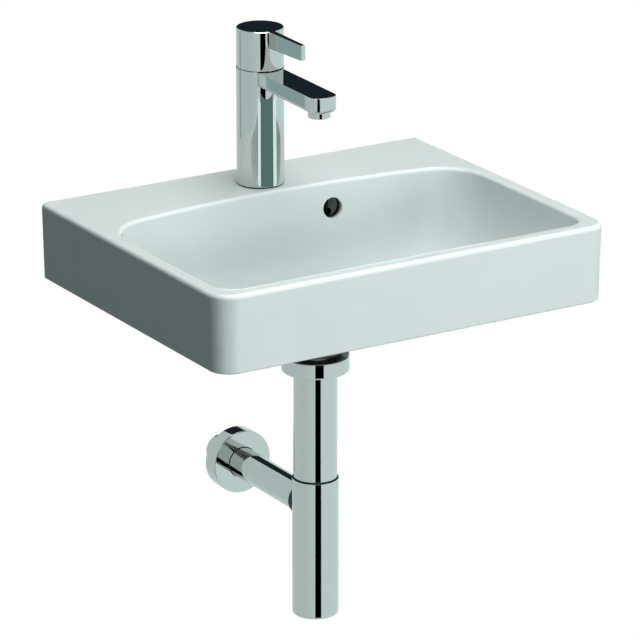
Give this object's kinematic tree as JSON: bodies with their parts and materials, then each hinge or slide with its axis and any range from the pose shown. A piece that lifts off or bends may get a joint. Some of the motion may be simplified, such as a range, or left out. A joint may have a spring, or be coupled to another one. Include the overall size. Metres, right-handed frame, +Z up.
{
  "type": "wall hung basin",
  "caption": "Wall hung hand basin with single lever mixer tap, offset overflow, push-open waste and bright tube bottle trap with wall rosette.",
  "frame": {"origin": "in the wall plane, midway between the axes of the two wall fixings", "axes": "+X to the right seen from the front, -Y to the front, +Y into the wall, +Z up"},
  "size_m": [0.4498, 0.4199, 0.6013],
  "materials": {
    "ceramic": "glossy white glaze",
    "chrome": "polished",
    "brass": "turned",
    "steel": "zinc plated",
    "stainless": "drawn",
    "rubber": "matt",
    "nylon": "moulded",
    "cartridge": "moulded",
    "insert": "moulded"
  },
  "bodies": {
    "basin": {"basin": "ceramic", "hanger_bolts": "steel", "fixing_bushes": "nylon", "fixing_washers": "steel", "fixing_nuts": "steel", "waste_body": "chrome", "waste_top_seal": "rubber", "waste_under_seal": "rubber", "waste_backnut": "brass", "trap_union_nut": "chrome", "union_gasket": "rubber", "dip_tube": "nylon", "inlet_sleeve": "chrome", "seam_seal": "rubber", "trap_body": "chrome", "outlet_seal": "rubber", "outlet_pipe": "chrome", "tap_body": "chrome", "tap_base_seal": "rubber", "aerator_housing": "chrome", "aerator_insert": "insert", "aerator_seal": "rubber", "cartridge_housing": "cartridge", "cartridge_nut": "brass", "tap_stud": "brass", "horseshoe_gasket": "rubber", "horseshoe_plate": "steel", "tap_stud_nut": "brass"},
    "turret": {"cartridge_turret": "cartridge", "pivot_pin": "stainless"},
    "handle": {"handle": "chrome", "handle_stem": "brass", "handle_grub_screw": "stainless", "handle_screw_plug": "insert"},
    "plug": {"waste_plug": "chrome", "plug_seal": "rubber", "plug_stem": "brass"},
    "rosette": {"wall_rosette": "chrome", "rosette_seal": "rubber"}
  },
  "joints": [
    {"name": "handle_turn", "type": "hinge", "parent": "basin", "child": "turret", "pos_m": [0, -0.058, 0.183], "axis": [0, 0, 1], "range_deg": [-50, 50]},
    {"name": "handle_lift", "type": "hinge", "parent": "turret", "child": "handle", "pos_m": [0, -0.058, 0.197], "axis": [-1, 0, 0], "range_deg": [0, 18]},
    {"name": "plug_lift", "type": "slide", "parent": "basin", "child": "plug", "axis": [0, 0, 1], "range_m": [0, 0.008]},
    {"name": "rosette_slide", "type": "slide", "parent": "basin", "child": "rosette", "axis": [0, -1, 0], "range_m": [0, 0.1]}
  ]
}
